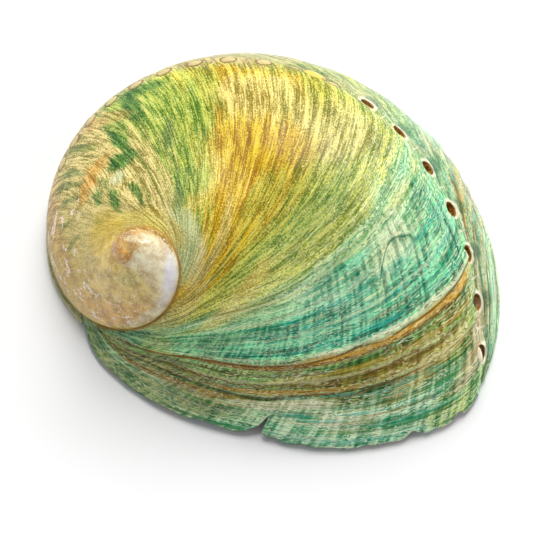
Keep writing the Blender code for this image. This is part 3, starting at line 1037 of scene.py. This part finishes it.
class Nodes:
    """A node tree, and short ways to add nodes to it."""

    def __init__(self, tree):
        self.tree = tree

    def feed(self, socket, value):
        """Links a signal to a socket, or sets a number, a vector or a colour written as 0xRRGGBB."""
        if isinstance(value, Signal):
            self.tree.links.new(value.socket, socket)
        elif socket.type == "RGBA":
            socket.default_value = (*tint(value), 1.0)
        else:
            socket.default_value = value

    def node(self, kind, inputs, output=0, **settings):
        """Adds a node, feeds its inputs and gives back one of its outputs."""
        node = self.tree.nodes.new(kind)
        for name, value in settings.items():
            setattr(node, name, value)
        for name, value in inputs.items():
            self.feed(node.inputs[name], value)
        return Signal(self, node.outputs[output])

    def math(self, operation, *values):
        return self.node("ShaderNodeMath", dict(enumerate(values)), operation=operation)

    def fact(self, name, output="Fac"):
        """What the mesh stores at each point under a name."""
        return self.node("ShaderNodeAttribute", {}, output, attribute_name=name)

    def place(self):
        """Where the point is, in millimetres."""
        at = self.node("ShaderNodeTexCoord", {}, "Object")
        return self.node("ShaderNodeVectorMath", {0: at, "Scale": 1.0 / MM}, "Vector", operation="SCALE")

    def parts(self, vector):
        """The three parts of a vector."""
        first = self.node("ShaderNodeSeparateXYZ", {0: vector})
        return [Signal(self, socket) for socket in first.socket.node.outputs]

    def vector(self, x, y):
        return self.node("ShaderNodeCombineXYZ", {0: x, 1: y})

    def hypot(self, x, y):
        return self.math("SQRT", x * x + y * y)

    def between(self, share, first, second):
        """The first number where the share is 0, the second where it is 1."""
        return self.node("ShaderNodeMix", {0: share, 2: first, 3: second}, data_type="FLOAT")

    def mix(self, share, first, second, blend="MIX"):
        """The first colour where the share is 0, the second where it is 1."""
        inputs = {0: share, 6: first, 7: second}
        return self.node("ShaderNodeMix", inputs, 2, data_type="RGBA", blend_type=blend)

    def noise(self, vector, scale=1.0, detail=2.0, roughness=0.5, distortion=0.0):
        inputs = {"Vector": vector, "Scale": scale, "Detail": detail}
        inputs |= {"Roughness": roughness, "Distortion": distortion}
        return self.node("ShaderNodeTexNoise", inputs, "Fac")

    def ramp(self, value, stops):
        """A colour for every value, from stops of a value and a colour each."""
        result = self.node("ShaderNodeValToRGB", {"Fac": value}, "Color")
        elements = result.socket.node.color_ramp.elements
        while len(elements) < len(stops):
            elements.new(0.5)
        for element, (place, code) in zip(elements, stops):
            element.position = place
            element.color = (*tint(code), 1.0)
        return result

    def bump(self, height, depth):
        """Normals of a height from 0 to 1, as deep as given in millimetres."""
        inputs = {"Strength": 1.0, "Distance": depth * MM, "Height": height}
        return self.node("ShaderNodeBump", inputs, "Normal")


class Paint(Nodes):
    """One material."""

    def __init__(self, name):
        self.material = bpy.data.materials.new(name)
        self.material.use_nodes = True
        super().__init__(self.material.node_tree)

    def finished(self, inputs):
        """The material, once the inputs of its surface are fed."""
        for name, value in inputs.items():
            self.feed(self.tree.nodes["Principled BSDF"].inputs[name], value)
        return self.material


class BackPaint(Paint):
    """The polished outside. Its streaks, threads and grains are noises that most of its marks share."""

    def __init__(self):
        super().__init__("shell_back")
        self.age = self.fact("age")
        self.across = self.fact("across")
        self.lines = self.fact("line_age")
        self.spot = self.place()
        self.young = self.age.step(62.0, 30.0)
        self.calm = self.age.step(180.0, 225.0)
        self.old = self.age.step(225.0, 275.0)
        self.long_streaks = self.laid(0.55, 4.0, 4.0)
        self.streaks = self.laid(1.7, 11.0, 5.0, 0.62, 0.3)
        self.strands = self.laid(2.0, 3.5, 4.0, 0.6)
        self.swells = self.laid(0.35, 10.0, 3.0, 0.6)
        self.hairs = self.laid(5.0, 26.0)
        self.cords = self.laid(0.1, 74.0, 1.5)
        self.grain = self.noise(self.spot, 3.1, 4.0, 0.7)
        self.grit = self.noise(self.spot, 3.7, 3.0, 0.65)
        self.speckle = self.noise(self.spot, 1.25, 3.0, 0.6)
        # Flecks of painted sparkle highlight; the surface is also glossier there.
        self.sparkle_highlights = self.speckle.step(0.58, 0.7) * self.grain.step(0.45, 0.62)
        self.wavy = self.lines + (self.laid(0.1, 16.0, 4.0, 0.6) - 0.5) * 2.6

    def laid(self, along, across, detail=2.0, roughness=0.5, distortion=0.0, ages=None):
        """Noise laid down with the growth lines: features for each degree of age and each whorl across."""
        vector = self.vector((ages or self.lines) * along, self.across * across)
        return self.noise(vector, 1.0, detail, roughness, distortion)

    def cover(self, share, colour, blend="MIX"):
        """Covers a share of the colour so far."""
        self.colour = self.mix(share, self.colour, colour, blend)

    def cover_streaks(self, share, colours):
        """Covers a share of the dark and of the light streaks, before they are put together."""
        self.dark = self.mix(share, self.dark, colours[0])
        self.light = self.mix(share, self.light, colours[1])


def growth_chart(back):
    """Age and place across, frayed along the growth lines, to lay patches of colour on."""
    fray = back.laid(0.9, 2.5, 4.0, 0.65) - 0.5
    drift = back.laid(0.12, 7.0, 3.0) - 0.5
    ragged = back.laid(2.2, 12.0, 4.0, 0.7) - 0.5
    x = back.age * (1.0 / CHART_DEGREES) + drift * 0.06 + ragged * 0.035
    y = back.across + fray * 0.16 + drift * 0.06 + ragged * 0.09
    # Out of a Mapping node it is a point, as each patch wants it: Cycles then takes the patches one by one.
    return back.node("ShaderNodeMapping", {"Vector": back.vector(x, y)}, "Vector")


def patch(back, chart, start, end, reach, soft):
    """An oval patch of the chart round the stroke from start to end, each an age and a place across."""
    scale = np.array((1.0 / CHART_DEGREES, 1.0))
    first, last = np.array(start) * scale, np.array(end) * scale
    along = last - first
    reach = reach / CHART_DEGREES
    widest = 1.0 + soft
    inputs = {
        "Vector": chart,
        "Location": (*((first + last) / 2), 0.0),
        "Rotation": (0.0, 0.0, float(np.arctan2(along[1], along[0]))),
        "Scale": (widest * (float(np.hypot(*along)) / 2 + reach), widest * reach, 1.0),
    }
    spot = back.node("ShaderNodeMapping", inputs, "Vector", vector_type="TEXTURE")
    inward = back.node("ShaderNodeTexGradient", {"Vector": spot}, "Fac", gradient_type="SPHERICAL")
    return inward.step(0.0, 2 * soft / widest)


def light_streaks(back):
    """Where the light streaks show, and where the dark ones."""
    fine = back.streaks * 0.3 + back.long_streaks * 0.2 + back.grit * 0.3 + back.swells * 0.2
    woven = back.strands * 0.3 + back.long_streaks * 0.2 + back.cords * 0.3 + back.swells * 0.2
    sharp = back.between(back.young, fine.step(0.44, 0.56), woven.step(0.445, 0.555))
    streaked = sharp + back.calm * (0.3 - sharp * 0.5)
    clouds = back.noise(back.spot, 0.5, 5.0, 0.6)
    mottled = 0.3 + clouds.step(0.34, 0.66) * 0.5
    return streaked + back.old * (mottled - streaked)


def lay_ground(back):
    """The paints of the growth bands, and the strokes of other paints over them."""
    swing = (back.laid(0.3, 3.0, 4.0, 0.6) - 0.5) * back.lines.step(20.0, 90.0) * SWAY_DEGREES
    spread = (back.lines + swing) * (1.0 / RAMP_DEGREES)
    back.dark, back.light = (
        back.ramp(spread, [(degrees / RAMP_DEGREES, PAINTS[name][tone]) for degrees, name in GROWTH_BANDS])
        for tone in (0, 1)
    )
    chart = growth_chart(back)
    for name, start, end, reach, soft, strength in PATCHES:
        mask = patch(back, chart, start, end, reach, soft * PATCH_SOFTNESS)
        back.cover_streaks(mask * strength, PAINTS[name])
    blots = back.laid(0.1, 2.6, 4.0, distortion=0.6, ages=back.age).step(0.48, 0.6)
    back.cover_streaks(blots * back.across.step(1.0, 1.08) * back.age.step(215.0, 195.0) * 0.6, WALL_BLOTS)
    back.colour = back.mix(light_streaks(back), back.dark, back.light)


def add_tides(back):
    """Amber veins in the middle of the back, and gold, teal and cream tides near the lip."""
    veins = back.laid(1.3, 3.2, 4.0, 0.6)
    amber = veins.step(0.56, 0.62) * back.age.band(98.0, 30.0, 12.0) * back.across.step(0.75, 0.6)
    back.cover(amber * back.grit.step(0.36, 0.5) * 0.6, AMBER_COLOUR)
    tide = back.laid(0.55, 2.2, 4.0, 0.65)
    golden = tide.step(0.54, 0.6) * back.age.band(15.0, 10.0, 4.0) * back.grit.step(0.3, 0.5)
    back.cover(golden * 0.6, TIDE_GOLD)
    watery = tide.step(0.47, 0.42) * back.age.step(56.0, 44.0) * back.streaks.step(0.42, 0.56)
    back.cover(watery * back.across.step(0.2, 0.45) * 0.65, TIDE_TEAL)
    creamy = tide.step(0.54, 0.62) * back.age.band(43.0, 17.0, 4.0) * back.cords.step(0.4, 0.55)
    back.cover(creamy * 0.6, TIDE_CREAM)


def add_threads(back):
    """Bright and deep threads: dotted on the older back, woven near the lip."""
    dotted = back.streaks * 0.35 + back.hairs * 0.1 + back.grit * 0.55
    woven = back.strands * 0.45 + back.cords * 0.35 + back.grit * 0.2
    threads = back.between(back.young, dotted, woven)
    fresh = 1.0 - back.old
    glint = threads.step(0.55, 0.62) * fresh * (1.0 - back.calm * 0.7)
    back.cover(glint * 0.85, back.mix(0.4, back.light, GLINT_COLOUR))
    deep = threads.step(0.45, 0.38) * fresh
    back.cover(deep * back.between(back.young, 0.3, 0.56), back.dark, "MULTIPLY")


def add_lines(back):
    """Thin lines of growth: coloured ones; folds, each a line of painted shade with a painted highlight on
    its older edge; and painted shade and highlights where the relief's own steps dip and rise.
    """
    broken = back.long_streaks.step(0.2, 0.38)
    for code, at, reach, soft, strength, start, end in LINES:
        inside = back.across.band((start + end) / 2, (end - start) / 2, 0.05)
        back.cover(back.wavy.band(at, reach, soft) * strength * inside * broken, code)
    # Painted shade for the grooves, browner round growth age 19.
    groove_shade = back.mix(back.lines.band(19.0, 7.0, 3.0), GROOVE_SHADE_COLOUR, GROOVE_SHADE_BROWN)
    folds = back.laid(0.4, 5.0, 3.0, 0.6)
    creased = back.age.step(85.0, 50.0) * back.long_streaks.step(0.3, 0.5)
    # Each fold: a thin line of painted shade, and a painted highlight just on its older side.
    for level in FOLD_LEVELS:
        back.cover(folds.band(level, 0.004, 0.006) * creased * 0.9, groove_shade)
        ridge = folds.band(level + 0.014, 0.004, 0.008) * creased
        back.cover(ridge * back.grain.step(0.34, 0.5) * 0.85, CREST_HIGHLIGHT_COLOUR)
    # Painted shade where the relief lies below its surroundings, and painted highlights on crests that stand
    # above them.
    height = back.fact("step")
    back.cover(height.step(-GROOVE_SHARP * 0.5, -GROOVE_SHARP) * 0.75, groove_shade)
    crest_highlights = height.step(GROOVE_SHARP * 0.5, GROOVE_SHARP) * back.grain.step(0.35, 0.6)
    back.cover(crest_highlights * 0.75, back.mix(0.6, back.light, CREST_HIGHLIGHT_COLOUR))


def add_scar(back):
    """The healed wound: cream on both sides of an arched line of painted shade, a painted highlight just
    behind that line, and painted shade in the grooves between its pleats.
    """
    dots = back.grain.step(0.34, 0.6)
    aside = (back.across - SCAR_PLACE) * (1.0 / SCAR_WIDTH)
    arch = back.between(aside.step(-0.3, 0.3), SCAR_ARCH_LEFT, SCAR_ARCH_RIGHT)
    behind = back.wavy - SCAR_AGE + aside * aside * arch
    within = abs(aside).step(1.2, 0.75)
    cream = behind.band(-2.6, 2.0, 0.8) + behind.band(2.7, 1.4, 0.6)
    back.cover(cream * within * dots * 0.75, SCAR_COLOUR)
    # Painted shade in the grooves between the pleats and along the arched step, with a painted highlight
    # behind the step.
    pleats = back.cords.step(0.5, 0.42) * behind.band(-1.5, 5.0, 1.5) * within
    back.cover(pleats * 0.4, GROOVE_SHADE_COLOUR)
    back.cover(behind.band(0.2, 0.22, 0.2) * within * 0.75, GROOVE_SHADE_COLOUR)
    back.cover(behind.band(1.0, 0.3, 0.25) * within * dots * 0.8, CREST_HIGHLIGHT_COLOUR)


def add_old_whorls(back):
    """The old whorls: pale dashes and curls of painted highlight, and the amber seam."""
    dashes = back.laid(0.1, 19.0, 3.0, distortion=0.5, ages=back.age)
    # Pale dashes of painted highlight on the old whorls.
    dashed = dashes.step(0.57, 0.62) * back.age.band(250.0, 62.0, 14.0) * back.across.step(0.4, 0.6)
    back.cover(dashed * back.grain.step(0.42, 0.52), DASH_HIGHLIGHT_COLOUR)
    # Wiggly curls of painted sparkle highlight over the old whorls.
    curls = back.noise(back.spot, 0.9, 3.0, distortion=1.4)
    back.cover(curls.band(0.53, 0.014, 0.014) * back.grain.step(0.44, 0.52) * back.old * 0.9, SPARKLE_HIGHLIGHT_COLOUR)
    rim = back.across.step(0.94, 0.975) * back.age.band(500.0, 150.0, 40.0)
    seam = (back.across - back.old * 0.02).step(0.011, 0.004) * back.age.step(440.0, 400.0)
    back.cover(back.math("MAXIMUM", rim, seam) * 0.75, RIM_COLOUR)


def add_pores(back):
    """Pale rims round the open pores, and tan plugs in the closed ones. Gives back the plugs' rings."""
    count, along, aside = back.parts(back.fact("pores", "Vector"))
    away = back.hypot(along * (2.0 * MM / PORE_LENGTH), aside * (2.0 * MM / PORE_WIDTH))
    away = away + (back.grain - 0.5) * 0.35
    closed = count.step(LAST_OPEN + 0.3, LAST_OPEN + 0.7) * back.age.step(196.0, 176.0)
    opened = count.step(LAST_OPEN + 0.7, LAST_OPEN + 0.3)
    beside = back.hypot(along, aside + PORE_SHADE_ASIDE)
    shade = beside.step(2.2, 1.0) * opened * count.step(-0.3, 0.6)
    back.cover(shade * back.grain.step(0.3, 0.6) * 0.75, PORE_SHADE)
    back.cover(away.step(1.75, 1.45) * opened * 0.95, PORE_RIM_COLOUR)
    ring = away.band(1.12, 0.12, 0.14) * closed
    back.cover(away.step(1.12, 0.9) * closed * 0.8, PLUG_COLOUR)
    back.cover(ring * 0.75, PLUG_RING_COLOUR)
    back.cover(count.band(CALLUS, 0.3, 0.1) * away.step(1.9, 1.6) * 0.95, CALLUS_COLOUR)
    return ring


def back_paint():
    """The polished outside: bands of colour laid down line by line, then patches, lines, cords and plugs."""
    back = BackPaint()
    lay_ground(back)
    add_tides(back)
    add_threads(back)
    add_lines(back)
    add_scar(back)
    # Flecks of painted sparkle highlight.
    back.cover(back.sparkle_highlights * SPARKLE_HIGHLIGHT_STRENGTH, SPARKLE_HIGHLIGHT_COLOUR)
    add_old_whorls(back)
    rings = add_pores(back)
    height = back.streaks * 0.42 + back.hairs * 0.1 + back.cords * back.young * 0.9 + back.speckle * 0.12
    height = (height - rings * 0.3) * (1.0 - back.old * 0.75)
    return back.finished({
        "Base Color": back.node("ShaderNodeGamma", {"Color": back.colour, "Gamma": DEPTH}),
        "Roughness": 0.15 + (back.streaks + back.grain) * 0.1 - back.sparkle_highlights * 0.08,
        "Coat Weight": 0.1 + back.old * 0.65,
        "Coat Roughness": 0.12,
        "Specular IOR Level": 0.3,
        "Normal": back.bump(height, BACK_BUMP),
    })


def nacre_paint():
    """The silvery inside, with soft clouds of pink, green and blue."""
    paint = Paint("shell_nacre")
    place = paint.place()
    swirl = paint.noise(place, 0.09, 3.0, distortion=1.6)
    ripple = paint.noise(place, 0.6, 3.0, distortion=0.6)
    return paint.finished({
        "Base Color": paint.ramp(swirl * 0.8 + ripple * 0.2, NACRE_COLOURS),
        "Metallic": 0.35,
        "Roughness": 0.18 + ripple * 0.2,
        "Coat Weight": 0.6,
        "Coat Roughness": 0.08,
        "Normal": paint.bump(ripple, 0.12),
    })


def lining_paint():
    """The cut walls of the pores: caramel layers with a pale top."""
    paint = Paint("pore_lining")
    layers = paint.noise(paint.place(), 2.2, 3.0)
    colour = paint.mix(layers.step(0.35, 0.65), LINING_DARK, LINING_LIGHT)
    pale = paint.fact("sunk").step(0.3, 0.1)
    return paint.finished({
        "Base Color": paint.mix(pale * 0.7, colour, PORE_RIM_COLOUR),
        "Roughness": 0.3 + layers * 0.2,
    })


# --- Stage, light and camera --------------------------------------------------------------------------


def make_floor():
    mesh = bpy.data.meshes.new("floor")
    half = FLOOR_SIZE / 2
    corners = [(-half, -half, 0), (half, -half, 0), (half, half, 0), (-half, half, 0)]
    mesh.from_pydata(corners, [], [(0, 1, 2, 3)])
    material = Paint("floor_white").finished({"Roughness": 0.9, "Specular IOR Level": 0.0})
    material.node_tree.nodes["Principled BSDF"].inputs["Base Color"].default_value = (*FLOOR_COLOUR, 1.0)
    mesh.materials.append(material)
    floor = add_object("floor", mesh)


def view_axes():
    """Right, up and forward directions of the camera."""
    azimuth, elevation, roll = np.radians((VIEW_AZIMUTH, VIEW_ELEVATION, VIEW_ROLL)).tolist()
    level = Vector((np.cos(azimuth), np.sin(azimuth), 0.0))
    reach = np.cos(elevation)
    forward = Vector((-np.sin(azimuth) * reach, np.cos(azimuth) * reach, -np.sin(elevation)))
    upward = level.cross(forward)
    right = level * np.cos(roll) + upward * -np.sin(roll)
    up = level * np.sin(roll) + upward * np.cos(roll)
    return right, up, forward


def make_camera():
    right, up, forward = view_axes()
    low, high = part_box(NODE)
    middle = (Vector(low) + Vector(high)) / 2
    aim = middle + right * VIEW_SHIFT[0] + up * VIEW_SHIFT[1]
    distance = VIEW_WIDTH / (SENSOR / LENS)
    data = bpy.data.cameras.new("camera")
    data.lens = LENS
    data.sensor_width = SENSOR
    data.clip_start = distance / 100
    data.clip_end = distance * 10
    camera = add_object("camera", data)
    camera.matrix_world = Matrix((right, up, -forward)).transposed().to_4x4()
    camera.location = aim - forward * distance
    bpy.context.scene.camera = camera


def make_sky():
    """An even studio sky, brighter towards the horizon."""
    world = bpy.data.worlds.new("studio")
    world.use_nodes = True
    bpy.context.scene.world = world
    sky = Nodes(world.node_tree)
    height = sky.parts(sky.node("ShaderNodeTexCoord", {}, "Generated"))[2]
    low, high = SKY_FADE
    inputs = {"Value": height, "From Min": low, "From Max": high, "To Min": SKY_LOW, "To Max": SKY_HIGH}
    background = sky.tree.nodes["Background"].inputs
    sky.feed(background["Strength"], sky.node("ShaderNodeMapRange", inputs, "Result"))
    sky.feed(background["Color"], SKY_COLOUR)


def make_lamps():
    right, up, forward = view_axes()
    for name, strength, width, (sideways, upwards, towards), glossy in LAMPS:
        lamp = bpy.data.lights.new(name, "SUN")
        lamp.energy = strength
        lamp.angle = np.radians(width)
        source = right * sideways + up * upwards - forward * towards
        holder = add_object(name, lamp)
        holder.visible_glossy = glossy
        holder.rotation_mode = "QUATERNION"
        holder.rotation_quaternion = source.to_track_quat("Z", "Y")


def main():
    back, nacre, lining = back_paint(), nacre_paint(), lining_paint()
    make_camera()
    shell = make_shell(back, nacre, lining)
    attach(shell, "root")
    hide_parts(NODE)
    make_floor()
    make_sky()
    make_lamps()
    bpy.context.scene.view_settings.view_transform = "Standard"


main()
